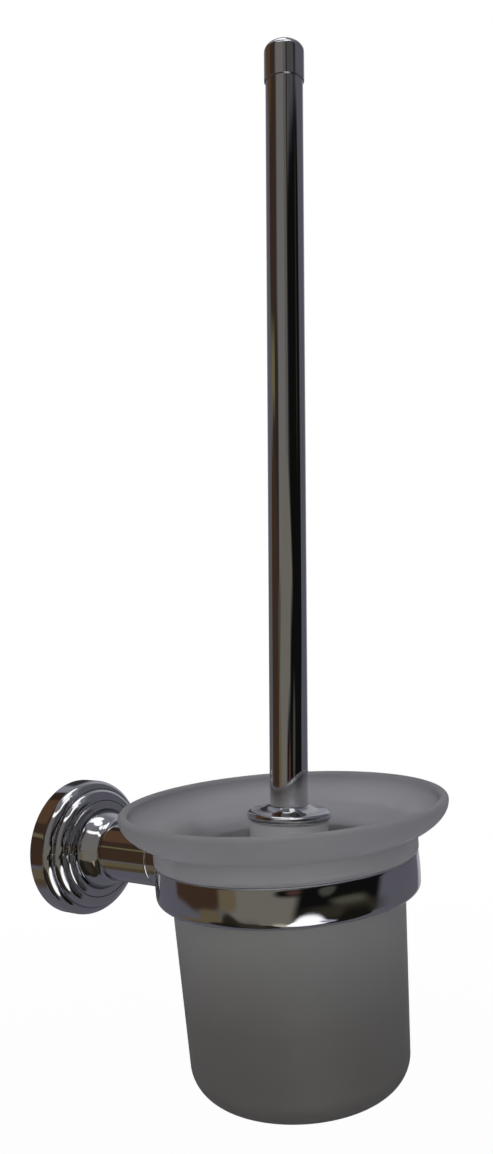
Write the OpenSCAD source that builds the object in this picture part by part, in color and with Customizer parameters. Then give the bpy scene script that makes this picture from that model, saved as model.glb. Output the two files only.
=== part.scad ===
// Wall-mounted toilet brush holder: a stepped rose and a round arm carry a chromed ring,
// a frosted glass cup with a flared bowl hangs in the ring, and a long-handled brush
// stands loose in the cup. Millimetres, +Z up, the wall is the plane y = 0 and the
// origin is the middle of the rose on the wall.

/* [Arm and rose] */
// Distance from the wall to the axis of the cup
reach = 109; // [105:1:150]
// Diameter of the arm and of the ring's boss
arm_d = 24; // [18:0.5:24]
// Diameter of the wall rose
rose_d = 55; // [54:1:72]
// Depth of the rose's skirt
skirt_depth = 10.9; // [10:0.1:14]
// Radius of the rounded front edge of the skirt
skirt_round = 4.4; // [3:0.1:4.6]
// Radial thickness of the skirt
skirt_wall = 2.7; // [2:0.1:2.8]
// Height of the first of the rose's two mouldings above the skirt
step_h = 3.3; // [2:0.1:4]
// Radial width of the first moulding
step_w = 4.2; // [3.4:0.1:4.4]
// Radius of the ball that carries the arm
ball_r = 16; // [15:0.1:18]
// Radius of the hollow curve between the ball and the arm
ball_fillet = 4.5; // [3:0.1:6]

/* [Wall plate] */
// Thickness of the plate that is screwed to the wall
plate_t = 5; // [4:0.5:6]
// Distance between the two wall screws
screw_spacing = 32; // [30:0.5:34]
// Diameter of the holes for the wall screws
screw_hole_d = 5.2; // [4:0.1:6]
// Diameter of the countersink of the wall screws
countersink_d = 9.6; // [8:0.2:11]
// Diameter of the plate's middle hole, which clears the arm's screw
plate_hole_d = 16; // [14:0.5:17]

/* [Ring] */
// Height of the ring's band
ring_h = 14; // [11:0.5:14]
// Radial thickness of the ring's band
ring_wall = 3.7; // [3:0.1:5]
// How far the band's outer face is crowned
ring_crown = 0.3; // [0.2:0.1:0.8]
// Radius of the band's rounded lower edge
ring_foot = 2.6; // [1:0.1:3]
// Height of the middle of the ring above the arm's axis
ring_rise = 0; // [0:0.05:1]
// Length of the boss between the ring and the arm
boss_len = 12; // [10:0.5:15]

/* [Seat ring] */
// Wall of the plastic sleeve that lines the ring
sleeve_wall = 0.9; // [0.6:0.1:1.2]
// How far the sleeve's flange lies out over the ring
flange_over = 1.1; // [0.8:0.1:1.4]
// Height of the sleeve's flange
flange_h = 1; // [0.8:0.1:3]

/* [Glass cup] */
// Outer diameter of the cup where it enters the ring
neck_d = 86; // [82:0.5:92]
// Outer diameter that the cup's wall would have at its foot
base_d = 78.5; // [76:0.5:80]
// Depth of the cup below its seat on the ring
cup_depth = 84.6; // [80:0.1:120]
// Thickness of the glass
glass_t = 3.5; // [2.8:0.1:4]
// Thickness of the cup's floor
floor_t = 5; // [4:0.5:8]
// Radius of the cup's rounded foot
foot_round = 11.5; // [8:0.5:13]
// Diameter of the flared bowl
bowl_d = 119.5; // [112:0.5:130]
// Height of the bowl's rim above the seat
bowl_rise = 17.9; // [16:0.1:24]
// Radius at which the curve of the bowl would lie flat
bowl_flat_r = 29; // [24:0.5:30]
// Height above the seat of the collar of thick glass under the bowl
band_h = 6.8; // [4:0.1:8]

/* [Brush handle] */
// Diameter of the handle tube
handle_d = 14; // [12:0.5:16]
// Wall of the handle tube
handle_wall = 1; // [0.6:0.1:1.5]
// Height of the cap's lower edge above the collar's edge
handle_len = 271; // [200:0.5:340]
// Radial thickness of the cap round the tube
cap_wall = 0.5; // [0.4:0.1:1.2]
// Height of the cap's straight side
cap_side = 11; // [8:0.5:16]
// Height of the cap's dome
cap_dome = 4.4; // [3:0.1:6]
// Diameter of the collar at the foot of the handle
collar_d = 30.7; // [29:0.1:34]
// Height of the collar above the middle of its rounded edge
collar_rise = 3.5; // [3.2:0.1:8]
// Radius of the collar's rounded edge
collar_round = 1.7; // [1.2:0.1:2]
// Lean of the brush, which stands loose in the cup, in degrees
brush_lean = 3.85; // [0:0.05:4]
// Direction of the lean, in degrees from +X
lean_dir = -38.5; // [-180:0.5:180]

/* [Brush head] */
// Height of the collar's edge above the tips of the lowest bristles
stem_len = 91; // [90:0.5:120]
// Diameter of the bristle head
head_d = 60; // [50:0.5:62]
// Diameter of the hub below the collar
hub_d = 28.6; // [24:0.2:29]
// Diameter of the core that holds the tufts
core_d = 19; // [17:0.5:22]
// Number of rows of tufts
tuft_rows = 7; // [5:1:7]
// Number of tufts in a row
row_tufts = 12; // [8:1:13]
// Distance between the rows of tufts
row_pitch = 7.2; // [6.6:0.1:7.4]
// Diameter of a tuft in its hole
tuft_d = 3.1; // [2.4:0.1:3.2]
// Diameter of a tuft at its splayed tips
tuft_tip_d = 6.8; // [4:0.2:7]
// Length of the end tufts
end_len = 11; // [8:0.5:13]

/* [Hidden] */
$fn = 96;

// clearances
fit_gap = 0.05;         // between a piece and the bore that it is pressed or screwed into
seat_gap = 0.3;         // between the glass or the bristles and what they rest on
slide_gap = 0.35;       // round the glass in the seat ring
plate_gap = 0.3;        // round the wall plate in the rose
cut = 0.1;              // overrun of cutting solids

// finish of edges
edge = 0.4;             // chamfer on turned ends
arc_n = 12;             // steps in a turned or blown curve

// rose
rose_r = rose_d / 2;
cavity_r = rose_r - skirt_wall;
cavity_depth = plate_t + 2;
groove_d = 0.5;         // depth of the grooves between the rose's mouldings
groove_w = 0.5;         // and their width
skirt_end = 70;         // angle at which the skirt's rounded edge runs into the groove
step1_r = rose_r - skirt_round * (1 - cos(skirt_end)) - groove_w;
step2_r = step1_r - step_w;
step2_h = 0.9;          // height of the second moulding above the first
step3_r = ball_r + groove_w;
ball_over = 1.2;        // height of the ball's centre above the skirt
ball_c = skirt_depth + ball_over;
arm_r = arm_d / 2;
rose_len = ball_c + sqrt(pow(ball_r + ball_fillet, 2) - pow(arm_r + ball_fillet, 2));
grub_s = plate_t / 2 + 0.3;     // distance of the grub screw from the wall

// wall plate
plate_r = cavity_r - plate_gap;
plate_v = 1.2;          // depth of the groove that the grub screw bears in

// screws
grub_r = 2;
m6_r = 3;
m6_clear_r = 3.3;
screw_head_r = 5;
screw_head_h = 3.6;
socket_r = 2.3;
socket_depth = 2;
washer_r = 6.2;
washer_t = 1.2;
screw_bite = 10;        // length of the arm's screw in the arm
stud_bite = 8;          // length of the ring's stud in the arm and in the boss
hole_extra = 0.6;       // depth of a threaded hole past its screw

// seat ring and ring, built outwards from the glass
neck_r = neck_d / 2;
sleeve_in_r = neck_r + slide_gap;
sleeve_r = sleeve_in_r + sleeve_wall;
ring_in_r = sleeve_r + fit_gap;
ring_r = ring_in_r + ring_wall;
ring_edge = 0.6;        // radius of the band's upper edge
saddle_in = 1;          // how far the boss reaches inside the ring's outer face
flange_r = ring_in_r + flange_over;
ring_lo = ring_rise - ring_h / 2;
ring_hi = ring_rise + ring_h / 2;
seam = reach - ring_r - boss_len;

// cup
cup_z = ring_hi + flange_h + seat_gap;
cup_bottom = cup_z - cup_depth;
base_r = base_d / 2;
bowl_r = bowl_d / 2;
taper = atan((neck_r - base_r) / cup_depth);
band_r = ring_r;        // collar of thick glass, flush with the ring
lip_gap = 0.4;          // round the flange, where the collar's outer edge reaches down
lip_r = flange_r + lip_gap;
lip_z = ring_hi + seat_gap;
relief_gap = 0.5;       // round the collar, in the top of the boss
relief_r = band_r + relief_gap;
flare_w = 3.5;          // width of the hollow curve between the collar and the bowl
flare_h = 0.5;          // and its height
rim_r = glass_t / 2;
bowl_top = cup_z + bowl_rise - rim_r;
bowl_a = bowl_r - bowl_flat_r;
flare_x = (band_r + flare_w - bowl_flat_r) / bowl_a;
bowl_b = (bowl_top - cup_z - band_h) / sqrt(1 - flare_x * flare_x);
throat_round = 6;
floor_z = cup_bottom + floor_t;

// brush, measured along its own axis from the tips of the end tufts
handle_r = handle_d / 2;
tube_in_r = handle_r - handle_wall;
collar_r = collar_d / 2;
collar_u = stem_len;
socket_in = 3;          // how far the tube stands in the collar
tube_lo = collar_u + collar_rise - socket_in;
cap_lo = collar_u + handle_len;
cap_r = handle_r + cap_wall;
cap_top_t = 1.2;
tube_hi = cap_lo + cap_side - cap_top_t;
plug_len = 16;
insert_len = 20;
stud_r = 4;
stud_up = 16;           // length of the stud above the collar's edge
stud_down = 18;         // and below it
hub_r = hub_d / 2;
core_r = core_d / 2;
core_lo = end_len;
row_lo = core_lo + 5;   // height of the lowest row of tufts
core_hi = row_lo + (tuft_rows - 1) * row_pitch + 5;
hub_hi = collar_u - collar_round;
hub_lo = core_hi + 7;
tuft_r = tuft_d / 2;
tuft_in = 3.5;          // depth of a tuft in the core
tuft_out = 0.5;         // straight stretch of a tuft outside the core
tilt_low = -16;         // tilt of the lowest row, in degrees above the level
tilt_high = 10;         // and of the highest row
end_ring_r = core_r * 0.5;
end_tufts_n = 6;
end_tilt = 20;
end_tip_r = tuft_tip_d * 0.42;

// where the leaning brush stands
foot_r = end_ring_r + end_len * tan(end_tilt) + end_tip_r / cos(end_tilt);
foot_z = floor_z + seat_gap + foot_r * sin(brush_lean);
cross_u = 57;           // height along the brush where its axis crosses the cup's axis

function arc(c, r, a0, a1, n = arc_n) =
    [for (i = [0:n]) let (a = a0 + (a1 - a0) * i / n) c + r * [cos(a), sin(a)]];
function oval(c, rx, rz, a0, a1, n = arc_n) =
    [for (i = [0:n]) let (a = a0 + (a1 - a0) * i / n) c + [rx * cos(a), rz * sin(a)]];
// radius of the cup's tapered wall at height z, a distance t inside its outer face
function wall_r(z, t = 0) = base_r + (z - cup_bottom) * tan(taper) - t / cos(taper);

// local z runs from the wall towards the room
module from_wall() rotate([90, 0, 0]) children();
module at_cup() translate([0, -reach, 0]) children();
module at_brush()
    at_cup()
        translate([-cross_u * sin(brush_lean) * cos(lean_dir),
                   -cross_u * sin(brush_lean) * sin(lean_dir), foot_z])
            rotate([0, 0, lean_dir])
                rotate([0, brush_lean, 0])
                    children();

// bar with chamfered ends, from z0 to z1
module bar(r, z0, z1, c = edge)
    rotate_extrude()
        polygon([[0, z0], [r - c, z0], [r, z0 + c], [r, z1 - c], [r - c, z1], [0, z1]]);

module drill(r, z0, z1)
    translate([0, 0, z0])
        cylinder(r = r, h = z1 - z0);

module wall_plate() {
    color("lightslategray")
        from_wall()
            difference() {
                rotate_extrude()
                    polygon([
                        [0, 0], [plate_r, 0],
                        [plate_r, grub_s - plate_v], [plate_r - plate_v, grub_s],
                        [plate_r, grub_s + plate_v],
                        [plate_r, plate_t - edge], [plate_r - edge, plate_t], [0, plate_t]
                    ]);
                drill(plate_hole_d / 2, -cut, plate_t + cut);
                for (side = [-1, 1])
                    translate([side * screw_spacing / 2, 0, 0]) {
                        drill(screw_hole_d / 2, -cut, plate_t + cut);
                        translate([0, 0, plate_t - (countersink_d - screw_hole_d) / 2])
                            cylinder(r1 = screw_hole_d / 2, r2 = countersink_d / 2 + cut,
                                     h = (countersink_d - screw_hole_d) / 2 + cut);
                    }
            }
}

module rose() {
    groove1_s = skirt_depth - groove_d;
    groove2_s = skirt_depth + step_h - groove_d;
    ball_start = asin((groove2_s + groove_d - ball_c) / ball_r);
    ball_end = acos((arm_r + ball_fillet) / (ball_r + ball_fillet));
    color("silver")
        from_wall()
            difference() {
                rotate_extrude()
                    polygon(concat(
                        [[0, cavity_depth], [cavity_r, cavity_depth], [cavity_r, 0], [rose_r, 0]],
                        arc([rose_r - skirt_round, skirt_depth - skirt_round], skirt_round,
                            0, skirt_end),
                        oval([step2_r, groove1_s], step_w, step_h + groove_d, 0, 90),
                        oval([step3_r, groove2_s], step2_r - step3_r - groove_w / 2,
                             step2_h + groove_d, 0, 90),
                        arc([0, ball_c], ball_r, ball_start, ball_end),
                        arc([arm_r + ball_fillet, rose_len], ball_fillet, 180 + ball_end, 180),
                        [[0, rose_len]]
                    ));
                drill(m6_clear_r, 0, rose_len + cut);
                translate([0, 0, grub_s])
                    rotate([90, 0, 0])
                        drill(grub_r + fit_gap, cavity_r - 1, rose_r + cut);
            }
}

// the grub screw stands in the underside of the skirt and bears in the plate's groove
module rose_grub_screw() {
    point_r = 0.2;
    tip = plate_r - plate_v + point_r + plate_gap;
    shoulder_r = 1.1;
    key_r = 1.4;        // of the socket for the hexagon key, and the socket's depth
    color("dimgray")
        from_wall()
            translate([0, 0, grub_s])
                rotate([90, 0, 0])
                    difference() {
                        rotate_extrude()
                            polygon([
                                [0, tip], [point_r, tip],
                                [shoulder_r, tip + shoulder_r - point_r],
                                [grub_r, cavity_r + edge],
                                [grub_r, rose_r - edge], [0, rose_r - edge]
                            ]);
                        translate([0, 0, rose_r - edge - key_r])
                            cylinder(r = key_r, h = key_r + cut, $fn = 6);
                    }
}

module arm() {
    color("silver")
        from_wall()
            difference() {
                rotate_extrude()
                    polygon([[0, rose_len], [arm_r, rose_len], [arm_r, seam - edge],
                             [arm_r - edge, seam], [0, seam]]);
                drill(m6_r + fit_gap, rose_len - cut, rose_len + screw_bite + hole_extra);
                drill(m6_r + fit_gap, seam - stud_bite - hole_extra, seam + cut);
            }
}

module arm_screw() {
    head_hi = cavity_depth - washer_t;
    color("gray")
        from_wall()
            difference() {
                union() {
                    bar(screw_head_r, head_hi - screw_head_h, head_hi);
                    bar(m6_r, head_hi - edge, rose_len + screw_bite);
                }
                translate([0, 0, head_hi - screw_head_h - cut])
                    cylinder(r = socket_r, h = socket_depth + cut, $fn = 6);
            }
}

module arm_washer() {
    color("darkgray")
        from_wall()
            difference() {
                drill(washer_r, cavity_depth - washer_t, cavity_depth);
                drill(m6_clear_r, cavity_depth - washer_t - cut, cavity_depth + cut);
            }
}

module ring() {
    crown_r = (pow(ring_h / 2, 2) + pow(ring_crown, 2)) / (2 * ring_crown);
    crown_x = ring_r - crown_r;
    foot_a = asin((ring_h / 2 - ring_foot) / (crown_r - ring_foot));
    foot_x = crown_x + (crown_r - ring_foot) * cos(foot_a);
    edge_a = asin((ring_h / 2 - ring_edge) / (crown_r - ring_edge));
    edge_x = crown_x + (crown_r - ring_edge) * cos(edge_a);
    color("silver")
        difference() {
            union() {
                at_cup()
                    rotate_extrude()
                        polygon(concat(
                            [[ring_in_r, ring_lo]],
                            arc([foot_x, ring_lo + ring_foot], ring_foot, -90, -foot_a, 8),
                            arc([crown_x, ring_rise], crown_r, -foot_a, edge_a, 8),
                            arc([edge_x, ring_hi - ring_edge], ring_edge, edge_a, 90, 5),
                            [[ring_in_r, ring_hi]]
                        ));
                difference() {
                    from_wall()
                        bar(arm_r, seam, reach - ring_in_r);
                    at_cup() {
                        drill(ring_r - saddle_in, -arm_d, arm_d);
                        drill(relief_r, ring_hi, arm_d);
                    }
                }
            }
            from_wall()
                drill(m6_r + fit_gap, seam - cut, seam + stud_bite + hole_extra);
        }
}

module ring_stud() {
    color("gray")
        from_wall()
            bar(m6_r, seam - stud_bite, seam + stud_bite);
}

module seat_ring() {
    color("gainsboro")
        at_cup()
            rotate_extrude()
                polygon([
                    [sleeve_in_r, ring_lo + edge / 2], [sleeve_r, ring_lo + edge / 2],
                    [sleeve_r, ring_hi], [flange_r, ring_hi],
                    [flange_r, ring_hi + flange_h - edge], [flange_r - edge, ring_hi + flange_h],
                    [sleeve_in_r + edge, ring_hi + flange_h], [sleeve_in_r, ring_hi + flange_h - edge]
                ]);
}

module cup() {
    in_round = foot_round - glass_t;
    in_a = bowl_a - glass_t;
    in_b = bowl_b - glass_t;
    // where the inside of the bowl meets the inside of the neck
    throat_r = wall_r(cup_z, glass_t);
    throat_x = (throat_r - bowl_flat_r) / in_a;
    throat_z = bowl_top - in_b * sqrt(1 - throat_x * throat_x);
    slope = atan(in_b * throat_x / (in_a * sqrt(1 - throat_x * throat_x)));
    foot_x = wall_r(cup_bottom + foot_round, foot_round);
    in_foot_x = wall_r(floor_z + in_round, glass_t + in_round);
    lip_a = -acos((throat_r + throat_round - bowl_flat_r) / in_a);
    color("lightsteelblue")
        at_cup()
            rotate_extrude()
                polygon(concat(
                    [[0, cup_bottom]],
                    arc([foot_x, cup_bottom + foot_round], foot_round, -90, -taper),
                    [[neck_r, cup_z], [lip_r, cup_z], [lip_r, lip_z], [band_r - edge, lip_z],
                     [band_r, lip_z + edge]],
                    oval([band_r + flare_w, cup_z + band_h - flare_h], flare_w, flare_h,
                         180, 90, 5),
                    oval([bowl_flat_r, bowl_top], bowl_a, bowl_b, -acos(flare_x), 0),
                    arc([bowl_r - rim_r, bowl_top], rim_r, 0, 180),
                    oval([bowl_flat_r, bowl_top], in_a, in_b, 0, lip_a),
                    arc([throat_r + throat_round,
                         throat_z + throat_round * (tan(slope) - 1 / cos(slope))],
                        throat_round, 90 + slope, 180, 5),
                    arc([in_foot_x, floor_z + in_round], in_round, -taper, -90),
                    [[0, floor_z]]
                ));
}

module handle_tube() {
    color("silver")
        at_brush()
            difference() {
                drill(handle_r, tube_lo, tube_hi);
                drill(tube_in_r, tube_lo - cut, tube_hi + cut);
            }
}

module handle_cap() {
    dome_lo = cap_lo + cap_side;
    color("silver")
        at_brush()
            rotate_extrude()
                polygon(concat(
                    [[handle_r + fit_gap, cap_lo], [cap_r, cap_lo]],
                    oval([0, dome_lo], cap_r, cap_dome, 0, 90),
                    [[0, dome_lo - cap_top_t + fit_gap],
                     [handle_r + fit_gap, dome_lo - cap_top_t + fit_gap]]
                ));
}

module cap_plug() {
    color("black")
        at_brush()
            bar(tube_in_r - fit_gap, tube_hi - plug_len, tube_hi);
}

module tube_insert() {
    color("goldenrod")
        at_brush()
            difference() {
                bar(tube_in_r - fit_gap, tube_lo, tube_lo + insert_len);
                drill(stud_r + fit_gap, tube_lo - cut, tube_lo + insert_len + cut);
            }
}

module collar() {
    top_r = handle_r + 0.6;
    bell_w = 3;         // width of the hollow curve up to the tube
    shelf_h = collar_round + 0.3;       // height at which that curve starts
    cone_a = atan((shelf_h - collar_round) / (collar_r - collar_round - top_r - bell_w));
    color("silver")
        at_brush()
            difference() {
                rotate_extrude()
                    polygon(concat(
                        [[0, hub_hi]],
                        arc([collar_r - collar_round, collar_u], collar_round, -90, 90 - cone_a, 14),
                        oval([top_r + bell_w, collar_u + collar_rise], bell_w,
                             collar_rise - shelf_h, 270, 180),
                        [[0, collar_u + collar_rise]]
                    ));
                drill(handle_r + fit_gap, tube_lo, collar_u + collar_rise + cut);
                drill(stud_r + fit_gap, hub_hi - cut, tube_lo + cut);
            }
}

module brush_stud() {
    color("gray")
        at_brush()
            bar(stud_r, collar_u - stud_down, collar_u + stud_up);
}

// puts its children at every tuft of the rows; local z points out of the core, and is 0
// at the core's surface
module each_side_tuft() {
    for (row = [0:tuft_rows - 1], i = [0:row_tufts - 1])
        let (share = row / (tuft_rows - 1), turn = 360 / row_tufts)
            translate([0, 0, row_lo + row * row_pitch])
                rotate([0, 0, turn * (i + 0.5 * (row % 2))])
                    translate([core_r, 0, 0])
                        rotate([0, 90 - tilt_low - (tilt_high - tilt_low) * share, 0])
                            children();
}

module each_end_tuft() {
    translate([0, 0, core_lo])
        rotate([180, 0, 0]) {
            children();
            for (i = [0:end_tufts_n - 1])
                rotate([0, 0, 360 / end_tufts_n * i])
                    translate([end_ring_r, 0, 0])
                        rotate([0, end_tilt, 0])
                            children();
        }
}

// one tuft: straight in its hole, then splayed to its tips
module tuft(len, tip_r) {
    rotate_extrude()
        polygon([
            [0, -tuft_in], [tuft_r, -tuft_in], [tuft_r, tuft_out], [tip_r, len], [0, len]
        ]);
}

module tuft_hole() {
    drill(tuft_r + fit_gap, -tuft_in, 3);
}

module head_body() {
    hub_edge = 0.8;
    color("white")
        at_brush()
            difference() {
                rotate_extrude()
                    polygon([
                        [0, core_lo], [core_r - hub_edge, core_lo], [core_r, core_lo + hub_edge],
                        [core_r, core_hi], [hub_r - hub_edge, hub_lo], [hub_r, hub_lo + hub_edge],
                        [hub_r, hub_hi], [0, hub_hi]
                    ]);
                drill(stud_r + fit_gap, collar_u - stud_down - hole_extra, hub_hi + cut);
                each_side_tuft() tuft_hole();
                each_end_tuft() tuft_hole();
            }
}

module side_tufts() {
    reach_out = head_d / 2 - core_r;
    color("whitesmoke")
        at_brush()
            each_side_tuft() tuft(reach_out, tuft_tip_d / 2);
}

// the end tufts are trimmed level
module end_tufts() {
    color("whitesmoke")
        at_brush()
            difference() {
                each_end_tuft() tuft(end_len / cos(end_tilt) + 2, end_tip_r);
                drill(head_d / 2, -8, 0);
            }
}

wall_plate();
rose();
rose_grub_screw();
arm();
arm_screw();
arm_washer();
ring();
ring_stud();
seat_ring();
cup();
handle_tube();
handle_cap();
cap_plug();
tube_insert();
collar();
brush_stud();
head_body();
side_tufts();
end_tufts();
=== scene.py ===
import bpy
import numpy as np
from mathutils import Matrix, Vector


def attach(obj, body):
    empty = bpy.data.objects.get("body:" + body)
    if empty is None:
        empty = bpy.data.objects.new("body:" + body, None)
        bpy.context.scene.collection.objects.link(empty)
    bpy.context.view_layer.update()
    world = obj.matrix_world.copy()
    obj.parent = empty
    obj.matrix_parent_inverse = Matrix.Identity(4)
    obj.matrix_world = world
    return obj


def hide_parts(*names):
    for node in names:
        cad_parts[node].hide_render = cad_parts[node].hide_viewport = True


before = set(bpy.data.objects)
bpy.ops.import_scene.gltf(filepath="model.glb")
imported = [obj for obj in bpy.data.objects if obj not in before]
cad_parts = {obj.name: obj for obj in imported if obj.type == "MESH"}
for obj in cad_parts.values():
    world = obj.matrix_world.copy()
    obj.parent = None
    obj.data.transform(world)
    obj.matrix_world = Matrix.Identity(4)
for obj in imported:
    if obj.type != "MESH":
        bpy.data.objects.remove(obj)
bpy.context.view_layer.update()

# A wall-mounted toilet brush holder. Sizes in the dictionaries are millimetres in the frame
# of the part: +Z up, the wall is y = 0, and the origin is the middle of the rose on the wall.
mm = 0.001


def circleArc(centre, radius, startDeg, endDeg, steps):
    # centre + radius * (cos a, sin a), with a running evenly between the two angles
    return ovalArc(centre, radius, radius, startDeg, endDeg, steps)


def ovalArc(centre, radiusA, radiusB, startDeg, endDeg, steps):
    # centre + (radiusA cos a, radiusB sin a), with a running evenly between the two angles
    a = np.radians(np.linspace(startDeg, endDeg, steps + 1))
    return np.column_stack([centre[0] + radiusA * np.cos(a), centre[1] + radiusB * np.sin(a)])


def softCorners(points, radius, steps, closed=False):
    # Every inner corner C becomes the curve (1-s)^2 A + 2s(1-s) C + s^2 B, where A and B lie
    # on its two sides at the distance radius, or at 0.4 of a shorter side. A further point
    # on each side keeps the shading of the straight stretches flat.
    p = np.asarray(points, float)
    before, corner, after = p[:-2], p[1:-1], p[2:]
    if closed:
        before, corner, after = np.roll(p, 1, 0), p, np.roll(p, -1, 0)
    toBefore, toAfter = before - corner, after - corner
    sideA = np.linalg.norm(toBefore, axis=1, keepdims=True)
    sideB = np.linalg.norm(toAfter, axis=1, keepdims=True)
    reachA = np.minimum(radius, 0.4 * sideA)
    reachB = np.minimum(radius, 0.4 * sideB)
    a = corner + toBefore / sideA * reachA
    b = corner + toAfter / sideB * reachB
    guardA = corner + toBefore / sideA * np.minimum(reachA * 1.5, 0.45 * sideA)
    guardB = corner + toAfter / sideB * np.minimum(reachB * 1.5, 0.45 * sideB)
    s = np.linspace(0, 1, steps + 1)[None, :, None]
    curve = (1 - s) ** 2 * a[:, None] + 2 * s * (1 - s) * corner[:, None] + s ** 2 * b[:, None]
    rounded = np.concatenate([guardA[:, None], curve, guardB[:, None]], axis=1).reshape(-1, 2)
    return rounded if closed else np.vstack([p[:1], rounded, p[-1:]])


def signedVolume(points, faces):
    # six times the volume between the origin and the faces, by the triangles of each fan
    total = 0.0
    for k in range(1, faces.shape[1] - 1):
        a, b, c = points[faces[:, 0]], points[faces[:, k]], points[faces[:, k + 1]]
        total += float(np.einsum("ij,ij->", a, np.cross(b, c)))
    return total


def meshObject(name, points, faceSets):
    # arrays of points and of three- or four-sided faces become a mesh that points outwards
    middle = points.mean(axis=0)
    if sum(signedVolume(points - middle, f) for f in faceSets) < 0:
        faceSets = [f[:, ::-1] for f in faceSets]
    mesh = bpy.data.meshes.new(name)
    mesh.vertices.add(len(points))
    mesh.vertices.foreach_set("co", points.astype(np.float32).ravel())
    corners = np.concatenate([f.ravel() for f in faceSets]).astype(np.int32)
    sizes = np.concatenate([np.full(len(f), f.shape[1]) for f in faceSets])
    starts = np.concatenate([[0], np.cumsum(sizes)[:-1]]).astype(np.int32)
    mesh.loops.add(len(corners))
    mesh.loops.foreach_set("vertex_index", corners)
    mesh.polygons.add(len(sizes))
    mesh.polygons.foreach_set("loop_start", starts)
    mesh.update(calc_edges=True)
    mesh.validate()
    mesh.shade_smooth()
    piece = bpy.data.objects.new(name, mesh)
    bpy.context.scene.collection.objects.link(piece)
    return piece


def gridFaces(rows, cols, wrapRows):
    # the quads between neighbouring rows of a grid whose columns go once round
    r = np.arange(rows if wrapRows else rows - 1)[:, None]
    c = np.arange(cols)[None, :]
    r2, c2 = (r + 1) % rows, (c + 1) % cols
    return np.stack([r * cols + c, r * cols + c2, r2 * cols + c2, r2 * cols + c],
                    axis=-1).reshape(-1, 4)


def fanFaces(row, cols, pole, flip):
    # triangles between one row and the vertex at its pole
    c = np.arange(cols)
    c2 = (c + 1) % cols
    a, b = (c2, c) if flip else (c, c2)
    return np.stack([row * cols + a, row * cols + b, np.full(cols, pole)], axis=-1)


def turned(name, profile, place, around, closed=False):
    # The profile (r, z) turned round the local z axis: (r cos t, r sin t, z), then put in
    # place. An open profile starts and ends on the axis, where a pole closes it.
    profile = np.asarray(profile, float)
    t = np.linspace(0, 2 * np.pi, around, endpoint=False)
    rim = profile if closed else profile[1:-1]
    grid = np.stack([rim[:, :1] * np.cos(t), rim[:, :1] * np.sin(t),
                     np.repeat(rim[:, 1:], around, axis=1)], axis=-1).reshape(-1, 3)
    rows = len(rim)
    faceSets = [gridFaces(rows, around, closed)]
    if not closed:
        ends = [[0, 0, profile[0, 1]], [0, 0, profile[-1, 1]]]
        grid = np.vstack([grid, ends])
        faceSets += [fanFaces(0, around, len(grid) - 2, True),
                     fanFaces(rows - 1, around, len(grid) - 1, False)]
    return meshObject(name, placed(grid, place), faceSets)


def placed(points, place):
    # points in local millimetres become metres in the part's frame
    m = np.array(place)
    return (points @ m[:3, :3].T + m[:3, 3]) * mm


def finishPiece(piece, body, slotName, nodes):
    # the piece takes the material listed under the slot's name; the piece stands for these CAD
    # nodes
    piece.data.materials.append(materials[slotName])
    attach(piece, body)
    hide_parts(*nodes)


# this matrix turns local z so that it runs from the wall into the room
fromWall = Matrix(((1, 0, 0, 0), (0, 0, -1, 0), (0, 1, 0, 0), (0, 0, 0, 1)))
holder = {
    "reach": 109.0, "armR": 12.0, "roseR": 27.5, "skirtDepth": 10.9, "skirtRound": 4.4,
    "skirtEndDeg": 70.0, "stepH": 3.3, "stepW": 4.2, "step2H": 0.9, "ballR": 16.0,
    "ballOver": 1.2, "ballFillet": 4.5, "grooveDepth": 0.5, "grooveWidth": 0.5,
    "cavityR": 24.8, "cavityDepth": 7.0, "grubHoleR": 2.05, "grubAt": 2.8,
    "grubHoleLen": 6.0, "seam": 49.0, "edge": 0.4, "edgeSoft": 0.25, "edgeSide": 6.0,
    "ringInR": 44.3, "ringR": 48.0, "ringLow": -7.0, "ringHigh": 7.0, "ringCrown": 0.3,
    "ringEdge": 0.6, "ringFoot": 2.6, "saddleIn": 1.0, "reliefR": 48.5, "reliefH": 20.0,
    "flatIn": 1.0, "flatUp": 0.5,
}
ballC = holder["skirtDepth"] + holder["ballOver"]
roseLen = ballC + np.sqrt((holder["ballR"] + holder["ballFillet"]) ** 2
                          - (holder["armR"] + holder["ballFillet"]) ** 2)
atCup = Matrix.Translation((0, -holder["reach"], 0))
brush = {
    "lean": 3.85, "leanDir": -38.5, "crossU": 57.0, "footZ": -70.21,
    "tubeR": 7.0, "tubeWall": 1.0, "tubeSoft": 0.2, "tubeLow": 91.5, "tubeHigh": 371.8,
    "capR": 7.5, "capLow": 362.0, "capSide": 11.0, "capDome": 4.4, "capSoft": 0.18,
    "capFit": 0.05, "capBore": 2.0, "capLipTop": 0.4, "capRoof": (0.3, 1.15), "capRoofEdge": 1.5,
    "collarR": 15.35, "collarU": 91.0, "collarRise": 3.5, "collarRound": 1.7, "collarBell": 3.0,
    "collarSag": 0.15, "collarOver": 0.6, "coneRise": 0.3, "undersideR": (6.0, 12.6),
    "collarTopR": 5.0, "hubR": 14.3, "hubLow": 71.2, "hubHigh": 89.3, "hubSoft": 0.9,
    "coreR": 9.5, "coreLow": 11.0, "coreHigh": 64.2,
}
lean, leanDir = np.radians(brush["lean"]), np.radians(brush["leanDir"])
brushFoot = (-brush["crossU"] * np.sin(lean) * np.cos(leanDir),
             -holder["reach"] - brush["crossU"] * np.sin(lean) * np.sin(leanDir),
             brush["footZ"])
atBrush = (Matrix.Translation(brushFoot)
           @ Matrix.Rotation(leanDir, 4, "Z") @ Matrix.Rotation(lean, 4, "Y"))


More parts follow.
